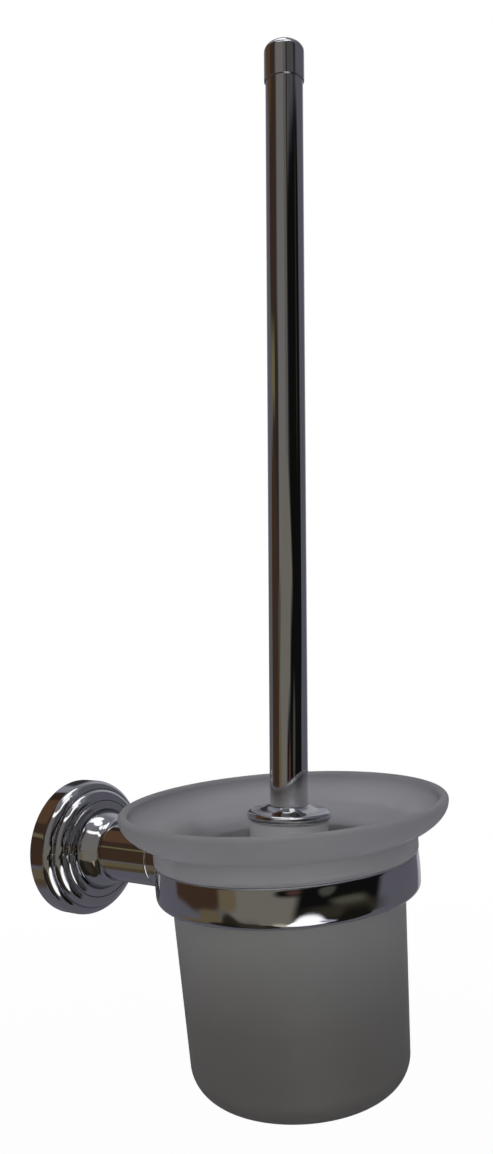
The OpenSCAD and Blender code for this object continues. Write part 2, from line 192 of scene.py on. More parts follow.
def linearColour(code):
    # an sRGB hex value as linear red, green, blue and an opaque alpha
    srgb = np.array([int(code[i:i + 2], 16) for i in (1, 3, 5)]) / 255.0
    rgb = np.where(srgb <= 0.04045, srgb / 12.92, ((srgb + 0.055) / 1.055) ** 2.4)
    return (*[float(v) for v in rgb], 1.0)


def addNode(tree, kind, settings=None, links=None):
    # settings: attributes, and inputs by name or number; links: input name -> output socket
    node = tree.nodes.new(kind)
    for key, value in (settings or {}).items():
        if isinstance(key, str) and hasattr(node, key):
            setattr(node, key, value)
        else:
            node.inputs[key].default_value = value
    for key, socket in (links or {}).items():
        tree.links.new(socket, node.inputs[key])
    return node


def surfaceMaterial(name, shader):
    # a new material with one Principled BSDF, whose constants are set on its own sockets
    material = bpy.data.materials.new(name)
    material.use_nodes = True
    tree = material.node_tree
    tree.nodes.clear()
    principled = addNode(tree, "ShaderNodeBsdfPrincipled", shader)
    addNode(tree, "ShaderNodeOutputMaterial", links={"Surface": principled.outputs["BSDF"]})
    return material, tree, principled


def perMetre(sizeMm):
    # the scale of a noise whose features are about this many millimetres across
    return 1.0 / (sizeMm * mm)


# Chromium electroplated over polished brass: a near mirror, slightly cold, with a faint
# orange peel from the nickel below and a haze of dried water here and there.
chrome = {
    "colour": "#c9cacd", "roughness": (0.035, 0.085), "hazeMm": 16.0, "hazeDetail": 4.0,
    "hazeRough": 0.6, "hazeFrom": 0.45, "hazeTo": 0.75, "peelMm": 11.0, "peelDetail": 1.0,
    "peelHeight": 0.000006, "peelStrength": 0.6,
}


def makeChrome():
    material, tree, shader = surfaceMaterial("chromePlatedBrass", {
        "Base Color": linearColour(chrome["colour"]), "Metallic": 1.0,
        "Roughness": chrome["roughness"][0]})
    place = addNode(tree, "ShaderNodeTexCoord")
    haze = addNode(tree, "ShaderNodeTexNoise",
                   {"Scale": perMetre(chrome["hazeMm"]), "Detail": chrome["hazeDetail"],
                    "Roughness": chrome["hazeRough"]}, {"Vector": place.outputs["Object"]})
    rough = addNode(tree, "ShaderNodeMapRange",
                    {"From Min": chrome["hazeFrom"], "From Max": chrome["hazeTo"],
                     "To Min": chrome["roughness"][0], "To Max": chrome["roughness"][1]},
                    {"Value": haze.outputs["Fac"]})
    tree.links.new(rough.outputs["Result"], shader.inputs["Roughness"])
    peel = addNode(tree, "ShaderNodeTexNoise",
                   {"Scale": perMetre(chrome["peelMm"]), "Detail": chrome["peelDetail"]},
                   {"Vector": place.outputs["Object"]})
    bump = addNode(tree, "ShaderNodeBump",
                   {"Strength": chrome["peelStrength"], "Distance": chrome["peelHeight"]},
                   {"Height": peel.outputs["Fac"]})
    tree.links.new(bump.outputs["Normal"], shader.inputs["Normal"])
    return material


# Soda-lime glass, blown into a mould and acid etched inside and out: light passes but is
# scattered, and the surface has a soft sheen. The base colour, by height in millimetres, is
# painted shade: it darkens towards the foot and towards the rim.
glass = {
    "shadeByHeight": [(-76, "#8c8984"), (-66, "#aeaca8"), (-45, "#b6b4b2"), (-12, "#dadada"),
              (12, "#e4e4e8"), (27, "#c6c6ca")],
    "roughness": (0.54, 0.64), "ior": 1.5, "specular": 0.25, "transmission": 0.85,
    "cloudMm": 14.0, "cloudDetail": 3.0, "cloudFrom": 0.3, "cloudTo": 0.7,
    "grainMm": 0.5, "grainDetail": 2.0, "grainHeight": 0.00003, "grainStrength": 0.5,
}


def makeGlass():
    material, tree, shader = surfaceMaterial("etchedSodaLimeGlass", {
        "Base Color": linearColour(glass["shadeByHeight"][0][1]), "Roughness": glass["roughness"][0],
        "IOR": glass["ior"], "Specular IOR Level": glass["specular"],
        "Transmission Weight": glass["transmission"]})
    place = addNode(tree, "ShaderNodeTexCoord")
    low, high = glass["shadeByHeight"][0][0], glass["shadeByHeight"][-1][0]
    split = addNode(tree, "ShaderNodeSeparateXYZ", links={"Vector": place.outputs["Object"]})
    rise = addNode(tree, "ShaderNodeMapRange", {"From Min": low * mm, "From Max": high * mm},
                   {"Value": split.outputs["Z"]})
    # painted shade: the base colour by height, darker towards the foot and at the rim
    tint = addNode(tree, "ShaderNodeValToRGB", links={"Fac": rise.outputs["Result"]})
    stops = [((z - low) / (high - low), linearColour(code)) for z, code in glass["shadeByHeight"]]
    ends = tint.color_ramp.elements
    ends[0].position, ends[0].color = stops[0]
    ends[1].position, ends[1].color = stops[-1]
    for position, colour in stops[1:-1]:
        ends.new(position).color = colour
    tree.links.new(tint.outputs["Color"], shader.inputs["Base Color"])
    cloud = addNode(tree, "ShaderNodeTexNoise",
                    {"Scale": perMetre(glass["cloudMm"]), "Detail": glass["cloudDetail"]},
                    {"Vector": place.outputs["Object"]})
    rough = addNode(tree, "ShaderNodeMapRange",
                    {"From Min": glass["cloudFrom"], "From Max": glass["cloudTo"],
                     "To Min": glass["roughness"][0], "To Max": glass["roughness"][1]},
                    {"Value": cloud.outputs["Fac"]})
    tree.links.new(rough.outputs["Result"], shader.inputs["Roughness"])
    grain = addNode(tree, "ShaderNodeTexNoise",
                    {"Scale": perMetre(glass["grainMm"]), "Detail": glass["grainDetail"]},
                    {"Vector": place.outputs["Object"]})
    bump = addNode(tree, "ShaderNodeBump",
                   {"Strength": glass["grainStrength"], "Distance": glass["grainHeight"]},
                   {"Height": grain.outputs["Fac"]})
    tree.links.new(bump.outputs["Normal"], shader.inputs["Normal"])
    return material


# Injection-moulded thermoplastics: polypropylene for the hub, soft polyethylene for the
# sleeve in the ring and the plug. A fine spark-eroded grain takes the shine off.
plastic = {
    "ior": 1.49, "scatterRadius": (0.002, 0.002, 0.0018), "grainDetail": 3.0,
    "grainStrength": 0.4, "tintPerGrain": 30, "tintDetail": 2.0, "tintFrom": 0.3, "tintTo": 0.7,
    "tintDark": 0.93,
}


def makePlastic(name, colour, roughness, grainMm, grainHeight, subsurface=0.0):
    material, tree, shader = surfaceMaterial(name, {
        "Base Color": linearColour(colour), "Roughness": roughness, "IOR": plastic["ior"],
        "Subsurface Weight": subsurface, "Subsurface Radius": plastic["scatterRadius"],
        "Subsurface Scale": 1.0})
    place = addNode(tree, "ShaderNodeTexCoord")
    grain = addNode(tree, "ShaderNodeTexNoise",
                    {"Scale": perMetre(grainMm), "Detail": plastic["grainDetail"]},
                    {"Vector": place.outputs["Object"]})
    tint = addNode(tree, "ShaderNodeTexNoise",
                   {"Scale": perMetre(grainMm * plastic["tintPerGrain"]),
                    "Detail": plastic["tintDetail"]}, {"Vector": place.outputs["Object"]})
    base = np.array(linearColour(colour))
    ramp = addNode(tree, "ShaderNodeValToRGB", links={"Fac": tint.outputs["Fac"]})
    darkEnd, paleEnd = ramp.color_ramp.elements
    darkEnd.position, paleEnd.position = plastic["tintFrom"], plastic["tintTo"]
    darkEnd.color, paleEnd.color = (*(base[:3] * plastic["tintDark"]), 1.0), tuple(base)
    tree.links.new(ramp.outputs["Color"], shader.inputs["Base Color"])
    bump = addNode(tree, "ShaderNodeBump",
                   {"Strength": plastic["grainStrength"], "Distance": grainHeight},
                   {"Height": grain.outputs["Fac"]})
    tree.links.new(bump.outputs["Normal"], shader.inputs["Normal"])
    return material


# Turned or pressed metals that stay hidden in use: zinc-plated steel plate, bright steel
# screws and a brass insert, with fine tool marks and patches that are duller from handling.
turnedMetal = {
    "patchMm": 6.0, "patchDetail": 4.0, "patchFrom": 0.3, "patchTo": 0.7, "brightest": 0.7,
    "dullest": 1.4, "markDetail": 1.0, "markStrength": 0.5,
}


def makeTurnedMetal(name, colour, roughness, markMm, markHeight):
    material, tree, shader = surfaceMaterial(name, {
        "Base Color": linearColour(colour), "Metallic": 1.0, "Roughness": roughness})
    place = addNode(tree, "ShaderNodeTexCoord")
    patches = addNode(tree, "ShaderNodeTexNoise",
                      {"Scale": perMetre(turnedMetal["patchMm"]),
                       "Detail": turnedMetal["patchDetail"]}, {"Vector": place.outputs["Object"]})
    rough = addNode(tree, "ShaderNodeMapRange",
                    {"From Min": turnedMetal["patchFrom"], "From Max": turnedMetal["patchTo"],
                     "To Min": roughness * turnedMetal["brightest"],
                     "To Max": roughness * turnedMetal["dullest"]},
                    {"Value": patches.outputs["Fac"]})
    tree.links.new(rough.outputs["Result"], shader.inputs["Roughness"])
    marks = addNode(tree, "ShaderNodeTexNoise",
                    {"Scale": perMetre(markMm), "Detail": turnedMetal["markDetail"]},
                    {"Vector": place.outputs["Object"]})
    bump = addNode(tree, "ShaderNodeBump",
                   {"Strength": turnedMetal["markStrength"], "Distance": markHeight},
                   {"Height": marks.outputs["Fac"]})
    tree.links.new(bump.outputs["Normal"], shader.inputs["Normal"])
    return material


# Extruded nylon monofilament, heat crimped and cut: milky and a little see-through.
bristle = {
    "colour": "#e9eae6", "shades": ("#d9dbd6", "#f2f3ef"), "shadeMm": 1.2, "shadeDetail": 2.0,
    "roughness": 0.35, "ior": 1.53, "transmission": 0.12,
}


def makeNylon():
    material, tree, shader = surfaceMaterial("nylonMonofilament", {
        "Base Color": linearColour(bristle["colour"]), "Roughness": bristle["roughness"],
        "IOR": bristle["ior"], "Transmission Weight": bristle["transmission"]})
    place = addNode(tree, "ShaderNodeTexCoord")
    shade = addNode(tree, "ShaderNodeTexNoise",
                    {"Scale": perMetre(bristle["shadeMm"]), "Detail": bristle["shadeDetail"]},
                    {"Vector": place.outputs["Object"]})
    ramp = addNode(tree, "ShaderNodeValToRGB", links={"Fac": shade.outputs["Fac"]})
    for end, code in zip(ramp.color_ramp.elements, bristle["shades"]):
        end.color = linearColour(code)
    tree.links.new(ramp.outputs["Color"], shader.inputs["Base Color"])
    return material


materials = {
    "chrome": makeChrome(),
    "frosted_glass": makeGlass(),
    "seat_plastic": makePlastic("mouldedPolyethylene", "#9a9ba0", 0.42, 0.35, 0.00004, 0.15),
    "head_plastic": makePlastic("mouldedPolypropylene", "#a3a4a6", 0.36, 0.4, 0.00003, 0.1),
    "plug_plastic": makePlastic("blackPolyethylene", "#17181a", 0.45, 0.35, 0.00004),
    "zinc": makeTurnedMetal("zincPlatedSteel", "#aeb3b8", 0.32, 0.8, 0.00003),
    "steel": makeTurnedMetal("stainlessSteelScrew", "#b4b2ae", 0.24, 0.5, 0.00002),
    "brass": makeTurnedMetal("turnedBrass", "#cda45c", 0.28, 0.5, 0.00002),
    "bristles": makeNylon(),
}
cadLooks = {
    "zinc": ["wall_plate"], "brass": ["tube_insert"], "plug_plastic": ["cap_plug"],
    "steel": ["rose_grub_screw", "arm_screw", "arm_washer", "ring_stud", "brush_stud"],
}
for slotName, nodeNames in cadLooks.items():
    for nodeName in nodeNames:
        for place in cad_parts[nodeName].material_slots:
            place.material = materials[slotName]
print("materials:", len(materials))


# The cup: a blown wall that tapers to a rounded foot, a collar of thick glass that rests
# on the seat, and above it a flared bowl with a fire-polished rim.
cup = {
    "bottom": -76.3, "seatZ": 8.3, "baseR": 39.25, "neckR": 43.0, "glass": 3.5, "floor": 5.0,
    "footRound": 11.5, "bowlR": 59.75, "bowlTop": 24.45, "bowlFlatR": 29.0, "bowlA": 30.75,
    "bandR": 48.0, "bandH": 6.8, "bandSoft": 0.6, "lipR": 45.8, "lipZ": 7.3, "flareW": 3.5,
    "flareH": 0.5, "rimR": 1.75, "throatRound": 6.0, "floorRings": 6, "around": 256,
}


def cupProfile():
    # outer wall upwards, round the rim, and down the inside to the floor
    c = cup
    taper = np.arctan((c["neckR"] - c["baseR"]) / (c["seatZ"] - c["bottom"]))
    taperDeg = np.degrees(taper)
    floorZ = c["bottom"] + c["floor"]

    def wallR(z, inside=0.0):
        # radius of the tapered wall at height z, a distance inside its outer face
        return c["baseR"] + (z - c["bottom"]) * np.tan(taper) - inside / np.cos(taper)

    bandTop = c["seatZ"] + c["bandH"]
    flareR = c["bandR"] + c["flareW"]
    flareX = (flareR - c["bowlFlatR"]) / c["bowlA"]
    bowlB = (c["bowlTop"] - bandTop) / np.sqrt(1 - flareX ** 2)
    inA, inB = c["bowlA"] - c["glass"], bowlB - c["glass"]
    inRound = c["footRound"] - c["glass"]
    throatR = wallR(c["seatZ"], c["glass"])
    throatX = (throatR - c["bowlFlatR"]) / inA
    throatZ = c["bowlTop"] - inB * np.sqrt(1 - throatX ** 2)
    slope = np.arctan(inB * throatX / (inA * np.sqrt(1 - throatX ** 2)))
    footX = wallR(c["bottom"] + c["footRound"], c["footRound"])
    inFootX = wallR(floorZ + inRound, c["glass"] + inRound)
    lipDeg = -np.degrees(np.arccos((throatR + c["throatRound"] - c["bowlFlatR"]) / inA))
    foot = circleArc([footX, c["bottom"] + c["footRound"]], c["footRound"], -90, -taperDeg, 28)
    flare = ovalArc([flareR, bandTop - c["flareH"]], c["flareW"], c["flareH"], 180, 90, 12)
    band = softCorners([foot[-1], [c["neckR"], c["seatZ"]], [c["lipR"], c["seatZ"]],
                        [c["lipR"], c["lipZ"]], [c["bandR"], c["lipZ"]], flare[0]],
                       c["bandSoft"], 6)
    bowl = ovalArc([c["bowlFlatR"], c["bowlTop"]], c["bowlA"], bowlB,
                   -np.degrees(np.arccos(flareX)), 0, 40)
    rim = circleArc([c["bowlR"] - c["rimR"], c["bowlTop"]], c["rimR"], 0, 180, 20)
    inside = ovalArc([c["bowlFlatR"], c["bowlTop"]], inA, inB, 0, lipDeg, 40)
    throatC = [throatR + c["throatRound"],
               throatZ + c["throatRound"] * (np.tan(slope) - 1 / np.cos(slope))]
    throat = circleArc(throatC, c["throatRound"], 90 + np.degrees(slope), 180, 16)
    inFoot = circleArc([inFootX, floorZ + inRound], inRound, -taperDeg, -90, 24)
    wall = throat[-1] + np.linspace(0, 1, 16)[1:-1, None] * (inFoot[0] - throat[-1])
    rings = c["floorRings"]
    flat = np.linspace(0.15, 1, rings)[:, None]
    under = np.column_stack([flat * foot[0, 0], np.full(rings, c["bottom"])])[:-1]
    over = np.column_stack([flat[::-1] * inFoot[-1, 0], np.full(rings, floorZ)])[1:]
    return np.vstack([[[0, c["bottom"]]], under, foot[:-1], band[1:-1], flare, bowl[1:], rim[1:],
                      inside[1:], throat[1:], wall, inFoot, over, [[0, floorZ]]])


cupGlass = turned("cupGlass", cupProfile(), atCup, cup["around"])
finishPiece(cupGlass, "cup", "frosted_glass", ["cup"])


# The ring: a crowned band with its bore, and the boss that is brazed to it.
def ringProfile():
    # lower edge, crowned outer face, upper edge, bore
    h = holder
    half = (h["ringHigh"] - h["ringLow"]) / 2
    rise = (h["ringHigh"] + h["ringLow"]) / 2
    crownR = (half ** 2 + h["ringCrown"] ** 2) / (2 * h["ringCrown"])
    crownX = h["ringR"] - crownR

    def corner(radius, side):
        # an arc from the level face to the crown; its centre lies on the crown's radius
        angle = np.arcsin((half - radius) / (crownR - radius))
        centre = [crownX + (crownR - radius) * np.cos(angle), rise + side * (half - radius)]
        return circleArc(centre, radius, side * 90, side * np.degrees(angle), 12), np.degrees(angle)

    low, lowDeg = corner(h["ringFoot"], -1)
    high, highDeg = corner(h["ringEdge"], 1)
    high = high[::-1]
    face = circleArc([crownX, rise], crownR, -lowDeg, highDeg, 16)
    bore = softCorners([high[-1], [h["ringInR"], h["ringHigh"]], [h["ringInR"], h["ringLow"]],
                        low[0]], h["edgeSoft"], 3)
    return np.vstack([low[:-1], face, high[1:], bore[1:-1]])


def bossPiece(name):
    # Rows of circles along the boss: its face at the seam, the chamfer, the side, and an end
    # hollowed to the cylinder that the band stands in, s = reach - sqrt(R^2 - x^2).
    h = holder
    around = 160
    t = np.linspace(0, 2 * np.pi, around, endpoint=False)
    start = softCorners([[0, h["seam"]], [h["armR"] - h["edge"], h["seam"]],
                         [h["armR"], h["seam"] + h["edge"]],
                         [h["armR"], h["seam"] + h["edgeSide"]]], h["edgeSoft"], 4)[1:-1]
    saddleR = h["ringR"] - h["saddleIn"]
    sideRows = endRows = 8
    radius = np.concatenate([start[:, 0], np.full(sideRows, h["armR"]),
                             h["armR"] * np.linspace(1, 0.1, endRows)])
    x, z = radius[:, None] * np.cos(t), radius[:, None] * np.sin(t)
    saddle = h["reach"] - np.sqrt(saddleR ** 2 - x ** 2)
    share = np.concatenate([np.linspace(0.1, 0.98, sideRows), np.ones(endRows)])[:, None]
    s = np.vstack([np.repeat(start[:, 1:], around, axis=1),
                   start[-1, 1] + share * (saddle[len(start):] - start[-1, 1])])
    grid = np.stack([x, z, s], axis=-1).reshape(-1, 3)
    rows = len(radius)
    grid = np.vstack([grid, [0, 0, h["seam"]], [0, 0, h["reach"] - saddleR]])
    return meshObject(name, placed(grid, fromWall), [
        gridFaces(rows, around, False), fanFaces(0, around, len(grid) - 2, True),
        fanFaces(rows - 1, around, len(grid) - 1, False)])


def cutHole(piece, centre, radius, length, around=40, sharpDeg=40):
    # an upright hole is cut by a boolean, whose result becomes the piece's own mesh
    t = np.linspace(0, 2 * np.pi, around, endpoint=False)
    ring = np.column_stack([radius * np.cos(t), radius * np.sin(t)])
    ends = [np.column_stack([ring, np.full(around, z)]) for z in (-length / 2, length / 2)]
    drill = np.vstack(ends + [[[0, 0, -length / 2], [0, 0, length / 2]]])
    cutter = meshObject("cutter", placed(drill, Matrix.Translation(centre)), [
        gridFaces(2, around, False), fanFaces(0, around, 2 * around, True),
        fanFaces(1, around, 2 * around + 1, False)])
    modifier = piece.modifiers.new("hole", "BOOLEAN")
    modifier.operation, modifier.solver, modifier.object = "DIFFERENCE", "EXACT", cutter
    bpy.context.view_layer.update()
    cut = piece.evaluated_get(bpy.context.evaluated_depsgraph_get())
    result = bpy.data.meshes.new_from_object(cut)
    piece.modifiers.clear()
    piece.data = result
    piece.data.set_sharp_from_angle(angle=np.radians(sharpDeg))
    bpy.data.objects.remove(cutter)


ringBand = turned("ringBand", ringProfile(), atCup, 256, closed=True)
finishPiece(ringBand, "bracket", "chrome", ["ring"])
ringBoss = bossPiece("ringBoss")
cutHole(ringBoss, (0, -holder["reach"], holder["ringHigh"] + holder["reliefH"] / 2),
        holder["reliefR"], holder["reliefH"], 320)
finishPiece(ringBoss, "bracket", "chrome", ["ring"])


# The rose: a skirt with a round edge, two mouldings behind fine grooves, and a ball that
# runs hollow into the arm; bored out behind for the plate.
def roseProfile():
    h = holder
    skirtC = [h["roseR"] - h["skirtRound"], h["skirtDepth"] - h["skirtRound"]]
    skirt = circleArc(skirtC, h["skirtRound"], 0, h["skirtEndDeg"], 14)
    step1R = skirt[-1, 0] - h["grooveWidth"]
    step2R = step1R - h["stepW"]
    step3R = h["ballR"] + h["grooveWidth"]
    step1Low = h["skirtDepth"] - h["grooveDepth"]
    step2Low = h["skirtDepth"] + h["stepH"] - h["grooveDepth"]
    ballStart = np.degrees(np.arcsin((step2Low + h["grooveDepth"] - ballC) / h["ballR"]))
    ballEnd = np.degrees(np.arccos((h["armR"] + h["ballFillet"]) / (h["ballR"] + h["ballFillet"])))
    step1 = ovalArc([step2R, step1Low], h["stepW"], h["stepH"] + h["grooveDepth"], 0, 90, 20)
    step2 = ovalArc([step3R, step2Low], step2R - step3R - h["grooveWidth"] / 2,
                    h["step2H"] + h["grooveDepth"], 0, 90, 16)
    ball = circleArc([0, ballC], h["ballR"], ballStart, ballEnd, 20)
    hollow = circleArc([h["armR"] + h["ballFillet"], roseLen], h["ballFillet"],
                       180 + ballEnd, 180, 12)
    back = softCorners([[0, h["cavityDepth"]], [h["cavityR"], h["cavityDepth"]], [h["cavityR"], 0],
                        [h["roseR"], 0], skirt[0]], h["edgeSoft"], 4)[:-1]
    return np.vstack([back, skirt, step1, step2, ball, hollow[1:],
                      [[h["armR"] - h["flatIn"], roseLen], [0, roseLen]]])


roseShell = turned("roseShell", roseProfile(), fromWall, 224)
cutHole(roseShell, (0, -holder["grubAt"], -(holder["cavityR"] + holder["roseR"]) / 2),
        holder["grubHoleR"], holder["grubHoleLen"])
finishPiece(roseShell, "bracket", "chrome", ["rose"])


def armProfile():
    # flush with the rose, with a small chamfer where it meets the ring's boss
    h = holder
    chamfer = softCorners([[h["armR"], h["seam"] - h["edgeSide"]],
                           [h["armR"], h["seam"] - h["edge"]],
                           [h["armR"] - h["edge"], h["seam"]], [0, h["seam"]]], h["edgeSoft"], 4)
    return np.vstack([[[0, roseLen], [h["armR"] - h["flatIn"], roseLen], [h["armR"], roseLen],
                       [h["armR"], roseLen + h["flatUp"]]], chamfer])


armBar = turned("armBar", armProfile(), fromWall, 224)
finishPiece(armBar, "bracket", "chrome", ["arm"])


# The sleeve that lines the ring, with the flange that the bowl sits on.
sleeve = {"inR": 43.35, "outR": 44.25, "flangeR": 45.4, "low": -6.8, "step": 7.0, "high": 8.0,
          "soft": 0.35}
sleeveProfile = softCorners([
    [sleeve["inR"], sleeve["low"]], [sleeve["outR"], sleeve["low"]],
    [sleeve["outR"], sleeve["step"]], [sleeve["flangeR"], sleeve["step"]],
    [sleeve["flangeR"], sleeve["high"]], [sleeve["inR"], sleeve["high"]]], sleeve["soft"], 4,
    closed=True)
seatSleeve = turned("seatSleeve", sleeveProfile, atCup, 224, closed=True)
finishPiece(seatSleeve, "bracket", "seat_plastic", ["seat_ring"])
print("holder: cup, ring, rose, arm and sleeve")


# The brush, turned about its own leaning axis.
tubeProfile = softCorners([
    [brush["tubeR"] - brush["tubeWall"], brush["tubeLow"]], [brush["tubeR"], brush["tubeLow"]],
    [brush["tubeR"], brush["tubeHigh"]],
    [brush["tubeR"] - brush["tubeWall"], brush["tubeHigh"]]], brush["tubeSoft"], 3, closed=True)
handleTube = turned("handleTube", tubeProfile, atBrush, 160, closed=True)
finishPiece(handleTube, "brush", "chrome", ["handle_tube"])


def capProfile():
    # straight side with a turned-in lower lip, a domed top, and the bore for the tube
    b = brush
    side = b["capLow"] + b["capSide"]
    boreR = b["tubeR"] + b["capFit"]
    roofIn, roofDown = b["capRoof"]
    dome = ovalArc([0, side], b["capR"], b["capDome"], 0, 90, 24)[:-1]
    lip = softCorners([[boreR, b["capLow"] + b["capBore"]], [boreR, b["capLow"]],
                       [b["capR"], b["capLow"]], [b["capR"], side - b["capLipTop"]]],
                      b["capSoft"], 4)
    return np.vstack([[[0, side - roofDown]], [[b["tubeR"] - roofIn, side - roofDown]],
                      [[boreR, side - b["capRoofEdge"]]], lip, dome, [[0, side + b["capDome"]]]])


handleCap = turned("handleCap", capProfile(), atBrush, 160)
finishPiece(handleCap, "brush", "chrome", ["handle_cap"])


def collarProfile():
    # flat underside, a round bead at the edge, a nearly level cone, and a steeper one that
    # sags by s (4 t (1 - t)) as it climbs to the tube
    b = brush
    topR, top = b["tubeR"] + b["collarOver"], b["collarU"] + b["collarRise"]
    shelf = b["collarRound"] + b["coneRise"]
    coneW = b["collarR"] - b["collarRound"] - topR - b["collarBell"]
    coneDeg = np.degrees(np.arctan(b["coneRise"] / coneW))
    bead = circleArc([b["collarR"] - b["collarRound"], b["collarU"]], b["collarRound"],
                     -90, 90 - coneDeg, 24)
    t = np.linspace(0, 1, 13)
    sag = b["collarSag"] * 4 * t * (1 - t)
    bell = np.stack([topR + b["collarBell"] * (1 - t),
                     b["collarU"] + shelf + (b["collarRise"] - shelf) * t - sag], axis=1)
    low = b["collarU"] - b["collarRound"]
    under = [[0, low]] + [[radius, low] for radius in b["undersideR"]]
    return np.vstack([under, bead, bell, [[b["collarTopR"], top]], [[0, top]]])


collarCone = turned("collarCone", collarProfile(), atBrush, 192)
finishPiece(collarCone, "brush", "chrome", ["collar"])


def headProfile():
    # the core for the tufts, a cone, and the hub under the collar
    b = brush
    return softCorners([
        [0, b["coreLow"]], [b["coreR"], b["coreLow"]], [b["coreR"], b["coreHigh"]],
        [b["hubR"], b["hubLow"]], [b["hubR"], b["hubHigh"]], [0, b["hubHigh"]]],
        b["hubSoft"], 6)


headMoulding = turned("headMoulding", headProfile(), atBrush, 160)
finishPiece(headMoulding, "brush", "head_plastic", ["head_body"])


# The tufts: each is a bundle of crimped nylon filaments that splays from its hole.
tufts = {
    "rows": 7, "inRow": 12, "rowLow": 16.0, "rowPitch": 7.2, "tiltLow": -16.0, "tiltHigh": 10.0,
    "reachOut": 20.5, "reachTrim": 0.2, "rootIn": 1.0, "holeR": 1.45, "tipR": 3.2,
    "filamentR": 0.2, "perTuft": 34, "steps": 6, "sides": 4, "splay": 1.25, "scatter": 0.35,
    "crimp": 0.16, "crimpTurn": 9.0, "unevenCut": 0.7, "endRingR": 4.75, "endTilt": 20.0,
    "endLen": 11.0, "endTipR": 2.7, "perEnd": 40, "seed": 17,
}


def filamentBundle(name, places, perTuft, length, tipR, levelZ=None):
    # Filament k of a tuft starts at disc point d in the hole and ends at d * tipR / holeR.
    # Along it the offset grows as share^splay and a small wave of the crimp is added; each
    # cross-section is a square round the centre line. Places are the tufts' matrices.
    rng = np.random.default_rng(tufts["seed"])
    steps, sides, root = tufts["steps"], tufts["sides"], tufts["rootIn"]
    count = len(places)
    golden = np.pi * (3 - np.sqrt(5))
    k = np.arange(perTuft)
    ringR = np.sqrt((k + 0.5) / perTuft)
    turn = k * golden
    disc = np.column_stack([ringR * np.cos(turn), ringR * np.sin(turn)])[None, :, None, :]
    along = np.linspace(0, 1, steps + 1)
    share = along[None, None, :, None]
    jitter = rng.uniform(-1, 1, (count, perTuft, 1, 2)) * tufts["scatter"]
    spread = tufts["holeR"] + (tipR - tufts["holeR"]) * share ** tufts["splay"]
    phase = rng.uniform(0, 2 * np.pi, (count, perTuft, 1, 2))
    crimp = tufts["crimp"] * np.sin(share * tufts["crimpTurn"] + phase) * share
    offset = disc * spread + jitter * share ** 2 + crimp
    limit = np.maximum(1.0, np.linalg.norm(offset, axis=-1, keepdims=True) / spread)
    offset = offset / limit
    cutLen = length - rng.uniform(0, tufts["unevenCut"], (count, perTuft, 1))
    depth = -root + (cutLen + root) * along
    corner = np.arange(sides) * 2 * np.pi / sides
    section = tufts["filamentR"] * np.column_stack([np.cos(corner), np.sin(corner)])
    local = np.zeros((count, perTuft, steps + 1, sides, 3))
    local[..., :2] = offset[:, :, :, None, :] + section
    local[..., 2] = depth[..., None]
    m = np.array([np.array(p) for p in places])
    points = np.einsum("nij,nfsvj->nfsvi", m[:, :3, :3], local) + m[:, None, None, None, :3, 3]
    if levelZ is not None:
        points[..., 2] = np.maximum(points[..., 2], levelZ)
    perOne = (steps + 1) * sides
    base = (np.arange(count * perTuft) * perOne)[:, None, None]
    quads = (base + gridFaces(steps + 1, sides, False)[None]).reshape(-1, 4)
    caps = (base[:, 0] + np.array([3, 2, 1, 0])).reshape(-1, 4)
    tips = (base[:, 0] + steps * sides + np.array([0, 1, 2, 3])).reshape(-1, 4)
    return meshObject(name, placed(points.reshape(-1, 3), atBrush),
                      [np.vstack([quads, caps, tips])])


def sideTuftPlaces():
    # rows up the core, every second row turned by half a step, tilted from low to high
    t = tufts
    places = []
    for row in range(t["rows"]):
        tilt = t["tiltLow"] + (t["tiltHigh"] - t["tiltLow"]) * row / (t["rows"] - 1)
        for i in range(t["inRow"]):
            angle = np.radians(360 / t["inRow"] * (i + 0.5 * (row % 2)))
            places.append(Matrix.Translation((0, 0, t["rowLow"] + row * t["rowPitch"]))
                          @ Matrix.Rotation(angle, 4, "Z")
                          @ Matrix.Translation((brush["coreR"], 0, 0))
                          @ Matrix.Rotation(np.radians(90 - tilt), 4, "Y"))
    return places


def endTuftPlaces():
    # one tuft in the middle of the end and a ring of six round it
    down = Matrix.Translation((0, 0, brush["coreLow"])) @ Matrix.Rotation(np.pi, 4, "X")
    ring = [down @ Matrix.Rotation(np.radians(60 * i), 4, "Z")
            @ Matrix.Translation((tufts["endRingR"], 0, 0))
            @ Matrix.Rotation(np.radians(tufts["endTilt"]), 4, "Y") for i in range(6)]
    return [down] + ring


sideFilaments = filamentBundle("sideFilaments", sideTuftPlaces(), tufts["perTuft"],
                               tufts["reachOut"] - tufts["reachTrim"], tufts["tipR"])
finishPiece(sideFilaments, "brush", "bristles", ["side_tufts"])
endFilaments = filamentBundle("endFilaments", endTuftPlaces(), tufts["perEnd"],
                              tufts["endLen"] / np.cos(np.radians(tufts["endTilt"])),
                              tufts["endTipR"], levelZ=0.0)
finishPiece(endFilaments, "brush", "bristles", ["end_tufts"])
print("brush: handle, cap, collar, hub and", len(sideFilaments.data.polygons), "bristle faces")
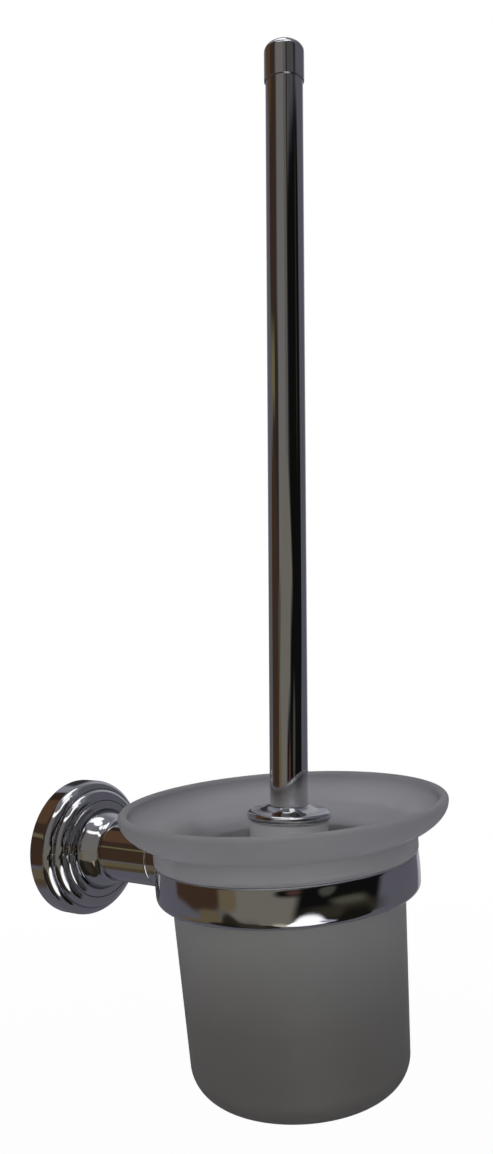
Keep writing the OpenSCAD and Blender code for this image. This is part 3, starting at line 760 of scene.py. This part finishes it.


# The studio: a pale floor well below the holder and white light from all round, and a tent
# that only gloss and clear glass see. Its dark and light fields are painted reflections and
# painted highlights, which draw the edges of the chrome. Places and
# sizes are in metres here, angles in degrees, and the lens and sensor in millimetres.
view = {"psi": 53.16, "yaw": -1.05, "pitch": 0.92, "roll": -4.06,
        "place": (-0.3144, -0.3446, 0.1016), "lens": 33.55, "sensor": 36.0, "clip": (0.01, 50.0)}
studio = {
    "floorZ": -0.33, "floorColour": "#f7f7f7", "floorR": 6.0, "floorSides": 64,
    "floorShare": 0.9, "shareFrom": 0.3, "shareTo": 1.2, "sky": 0.55, "aimZ": 0.05,
}
lamps = {
    "topBox": {"place": (-0.15, -0.35, 1.25), "size": (0.9, 0.9), "power": 8.0},
    "leftBox": {"place": (-0.9, -0.55, 0.5), "size": (0.5, 0.7), "power": 3.2},
}


def seenRays(tree):
    # 1 for camera, glossy and transmission rays, 0 for the rest
    path = addNode(tree, "ShaderNodeLightPath")
    first = addNode(tree, "ShaderNodeMath", {"operation": "MAXIMUM"},
                    {0: path.outputs["Is Camera Ray"], 1: path.outputs["Is Glossy Ray"]})
    return addNode(tree, "ShaderNodeMath", {"operation": "MAXIMUM"},
                   {0: first.outputs[0], 1: path.outputs["Is Transmission Ray"]})


# white where it is seen, and softer as light
world = bpy.data.worlds.new("whiteRoom")
bpy.context.scene.world = world
world.use_nodes = True
sky = world.node_tree
sky.nodes.clear()
strength = addNode(sky, "ShaderNodeMapRange", {"To Min": studio["sky"], "To Max": 1.0},
                   {"Value": seenRays(sky).outputs[0]})
background = addNode(sky, "ShaderNodeBackground", {"Color": (1, 1, 1, 1)},
                     {"Strength": strength.outputs["Result"]})
addNode(sky, "ShaderNodeOutputWorld", links={"Surface": background.outputs[0]})

# floor: painted board; what looks at it sees mostly white, and more so further away, so
# that it runs into the room without a line, and the object's shadow stays
floorMaterial = bpy.data.materials.new("whitePaintedBoard")
floorMaterial.use_nodes = True
floorTree = floorMaterial.node_tree
floorTree.nodes.clear()
lit = addNode(floorTree, "ShaderNodeBsdfDiffuse", {"Color": linearColour(studio["floorColour"])})
plain = addNode(floorTree, "ShaderNodeEmission", {"Color": (1, 1, 1, 1), "Strength": 1.0})
where = addNode(floorTree, "ShaderNodeTexCoord")
far = addNode(floorTree, "ShaderNodeVectorMath", {"operation": "LENGTH"},
              {0: where.outputs["Object"]})
share = addNode(floorTree, "ShaderNodeMapRange",
                {"From Min": studio["shareFrom"], "From Max": studio["shareTo"],
                 "To Min": studio["floorShare"], "To Max": 1.0},
                {"Value": far.outputs["Value"]})
amount = addNode(floorTree, "ShaderNodeMath", {"operation": "MULTIPLY"},
                 {0: seenRays(floorTree).outputs[0], 1: share.outputs["Result"]})
mixed = addNode(floorTree, "ShaderNodeMixShader",
                links={0: amount.outputs[0], 1: lit.outputs[0], 2: plain.outputs[0]})
addNode(floorTree, "ShaderNodeOutputMaterial", links={"Surface": mixed.outputs[0]})
sides = studio["floorSides"]
t = np.linspace(0, 2 * np.pi, sides, endpoint=False)
disc = np.column_stack([studio["floorR"] * np.cos(t), studio["floorR"] * np.sin(t),
                        np.full(sides, studio["floorZ"])])
floorMesh = bpy.data.meshes.new("floor")
floorMesh.from_pydata(np.vstack([disc, [[0, 0, studio["floorZ"]]]]).tolist(), [],
                      [[i, (i + 1) % sides, sides] for i in range(sides)])
floorMesh.materials.append(floorMaterial)
floor = bpy.data.objects.new("floor", floorMesh)
bpy.context.scene.collection.objects.link(floor)
floor.visible_glossy = floor.visible_transmission = False


# The tent's fields, each with the colour it shows in the chrome, its middle and half sizes
# in degrees (turn from the camera towards the right of the view, height above the level),
# the softness of its edge, its power (2 is an ellipse, more is nearer a rectangle), and the
# degrees that it leans to the right for each degree of height.
tentFields = [
    # painted reflections of the room above the height of the seat: brown boards, a grey wall, a
    # black opening
    ("#6a6b70", 180, 72, 180, 32, 10, 2, 0),
    ("#77777d", 180, 28, 36, 27, 8, 3, 0),
    ("#8d8d92", 160, 8, 11, 38, 6, 4, 0),
    ("#2b2a2d", -168, 2, 8, 34, 5, 4, 0),
    ("#4f4e55", 114, 25, 28, 36, 6, 4, 0),
    ("#525155", -128, 14, 22, 22, 6, 4, 0),
    ("#64615e", -20, 16, 29, 52, 5, 6, 0),
    ("#33291f", -82, 38, 27, 22, 4, 5, 0),
    ("#2b231c", -73, 7, 21, 13, 4, 5, 0.3),
    ("#47423a", -56, 1, 26, 4, 3, 3, 0),
    ("#54524f", 2, 14, 8, 30, 4, 5, 0),
    ("#444241", 35, 40, 19, 17, 4, 4, 0),
    ("#272423", 60, 36, 8, 13, 4, 4, 0),
    ("#2a2827", 13, 30, 4, 30, 3, 5, 0),
    ("#0d0c0b", 52, 8, 36, 16, 3, 6, -0.3),
    ("#262524", 65, 14, 4, 8, 3, 3, 0),
    # painted reflections below it: an olive wall beside a dark board with a pale line, and a black
    # opening
    ("#65625a", -24, -10, 22, 12, 5, 5, 0),
    ("#231f18", -38, -46, 26, 29, 2, 5, 0),
    ("#636058", -10, -9, 52, 20, 2, 1.5, 0),
    ("#5c5140", -53, -9, 9, 8, 3, 4, 0),
    ("#37291f", -84, -3, 24, 14.5, 3, 7, 0),
    ("#515057", -116, -33, 38, 19, 3, 2.5, 0),
    ("#564d3b", -71, -20.5, 11, 4, 2, 5, 0),
    ("#564d3b", -92, -27, 22, 6, 3, 5, 0),
    ("#453b2d", -84, -36, 24, 4, 3, 5, 0),
    ("#37291f", -90, 4, 16, 9, 3, 7, 0),
    ("#5f573f", -88, 17, 14, 2, 1.5, 8, 0),
    ("#33271f", -88, 26, 22, 5, 2, 6, 0),
    ("#4c3728", -112, 42, 22, 13, 3, 6, 0),
    ("#2a211c", -140, 43, 9, 6, 2, 4, 0),
    ("#0d0d0d", 44, -12, 38, 13, 3, 5, 0.5),
    ("#0d0d0d", 5, -7, 16, 3, 1.5, 3, 0.8),
    ("#3d3d36", 32, -8, 7, 3, 2, 2, 0.5),
    ("#452f2c", 4, -7.5, 6, 1.5, 1.5, 2, 0),
    ("#45443a", 52, -15, 15, 2.2, 2, 3, -1.5),
    ("#2b2820", 48, -19, 34, 3, 3, 4, 0),
    # painted reflections of the floor in front: dark, then beige, and a painted highlight of white
    # where the light falls
    ("#1c1a17", -60, -43, 17, 20, 4, 4, 0),
    ("#2e2a22", -36, -43, 12, 20, 5, 4, 0),
    ("#a39c8a", -5, -42, 8, 17, 4, 3, -0.3),
    ("#14120f", 58, -40, 18, 22, 4, 4, 0),
    ("#ffffff", 16, -40, 20, 20.5, 2, 2.5, 0),
    ("#8f8c99", 34, -33, 7, 9, 3, 3, -0.5),
    # painted highlights: white patches where the lamps show in the chrome
    ("#ffffff", 45, 68, 30, 9, 2, 4, 0),
    ("#ffffff", -10, 57, 44, 4, 2, 4, 0),
    ("#ffffff", 0, 90, 900, 10, 2, 4, 0),
    ("#ffffff", -160, 76, 50, 10, 2, 4, 0),
]
tent = {"radius": 20.0, "base": "#515057", "chrome": 0.58, "cols": 360, "rows": 180}


def fieldShare(turn, height, field):
    # 1 inside |t/a|^p + |h/b|^p = 1 and 0 outside, with a smooth edge about soft degrees
    # wide; t is the turn from the field's middle, taken the short way round
    midTurn, midHeight, halfTurn, halfHeight, soft, power, slant = field[1:]
    t = (turn - midTurn - slant * (height - midHeight) + 180) % 360 - 180
    size = np.abs(t / halfTurn) ** power + np.abs((height - midHeight) / halfHeight) ** power
    inside = (1 - size ** (1 / power)) * min(halfTurn, halfHeight) / soft + 0.5
    s = np.clip(inside, 0, 1)
    return s * s * (3 - 2 * s)


def makeTent():
    # A sphere round the cup, R (cos h cos a, cos h sin a, sin h). Each vertex glows in its
    # field's colour divided by the share of light that chrome reflects.
    rows, cols = tent["rows"] + 1, tent["cols"]
    height = np.linspace(-90, 90, rows)[:, None] + np.zeros((1, cols))
    turn = np.linspace(-180, 180, cols, endpoint=False)[None, :] + np.zeros((rows, 1))
    psi = np.radians(view["psi"])
    towards = np.degrees(np.arctan2(-np.cos(psi), -np.sin(psi)))
    a, h = np.radians(turn + towards), np.radians(height)
    unit = np.stack([np.cos(h) * np.cos(a), np.cos(h) * np.sin(a), np.sin(h)], axis=-1)
    grid = tent["radius"] * unit + [0, -holder["reach"] * mm, 0]
    paint = np.zeros((rows, cols, 3)) + np.array(linearColour(tent["base"])[:3])
    for field in tentFields:
        share = fieldShare(turn, height, field)[..., None]
        paint = paint * (1 - share) + np.array(linearColour(field[0])[:3]) * share
    faces = gridFaces(rows, cols, False)
    mesh = bpy.data.meshes.new("tent")
    mesh.from_pydata(grid.reshape(-1, 3).tolist(), [], faces.tolist())
    layer = mesh.color_attributes.new("paint", "FLOAT_COLOR", "POINT")
    rgba = np.concatenate([paint / tent["chrome"], np.ones((rows, cols, 1))], axis=-1)
    layer.data.foreach_set("color", rgba.astype(np.float32).ravel())
    # the tent's material: painted reflections and highlights, which glow for gloss and clear glass
    # only
    material = bpy.data.materials.new("paintedReflections")
    material.use_nodes = True
    tree = material.node_tree
    tree.nodes.clear()
    read = addNode(tree, "ShaderNodeAttribute", {"attribute_name": "paint"})
    glow = addNode(tree, "ShaderNodeEmission", {"Strength": 1.0}, {"Color": read.outputs["Color"]})
    addNode(tree, "ShaderNodeOutputMaterial", links={"Surface": glow.outputs[0]})
    mesh.materials.append(material)
    reflectionSphere = bpy.data.objects.new("tent", mesh)
    bpy.context.scene.collection.objects.link(reflectionSphere)
    reflectionSphere.visible_camera = reflectionSphere.visible_diffuse = reflectionSphere.visible_shadow = False
    reflectionSphere.visible_volume_scatter = False


makeTent()


def softBox(name, place, size, power):
    # a white rectangular lamp that points at the cup
    data = bpy.data.lights.new(name, "AREA")
    data.shape, data.size, data.size_y = "RECTANGLE", size[0], size[1]
    data.energy = power
    lamp = bpy.data.objects.new(name, data)
    lamp.location = place
    aim = Vector((0.0, -holder["reach"] * mm, studio["aimZ"]))
    lamp.rotation_euler = (aim - Vector(place)).to_track_quat("-Z", "Y").to_euler()
    lamp.visible_glossy = lamp.visible_transmission = False
    bpy.context.scene.collection.objects.link(lamp)


for name, settings in lamps.items():
    softBox(name, **settings)
print("studio: floor, white room, tent and lamps")


def makeCamera():
    # the direction of view is turned about the vertical, tipped up, then rolled
    psi, yaw, pitch, roll = np.radians([view["psi"], view["yaw"], view["pitch"], view["roll"]])
    up = np.array([0.0, 0.0, 1.0])
    ahead = np.array([np.sin(psi), np.cos(psi), 0.0])
    right = np.cross(ahead, up)
    ahead, right = (np.cos(yaw) * ahead + np.sin(yaw) * right,
                    np.cos(yaw) * right - np.sin(yaw) * ahead)
    ahead, up = (np.cos(pitch) * ahead + np.sin(pitch) * up,
                 np.cos(pitch) * up - np.sin(pitch) * ahead)
    right, up = (np.cos(roll) * right + np.sin(roll) * up,
                 np.cos(roll) * up - np.sin(roll) * right)
    data = bpy.data.cameras.new("camera")
    data.lens, data.sensor_width, data.sensor_fit = view["lens"], view["sensor"], "AUTO"
    data.clip_start, data.clip_end = view["clip"]
    camera = bpy.data.objects.new("camera", data)
    m = Matrix.Identity(4)
    for row in range(3):
        m[row][0], m[row][1], m[row][2] = right[row], up[row], -ahead[row]
        m[row][3] = view["place"][row]
    camera.matrix_world = m
    bpy.context.scene.collection.objects.link(camera)
    bpy.context.scene.camera = camera


makeCamera()
bpy.context.scene.view_settings.view_transform = "Standard"
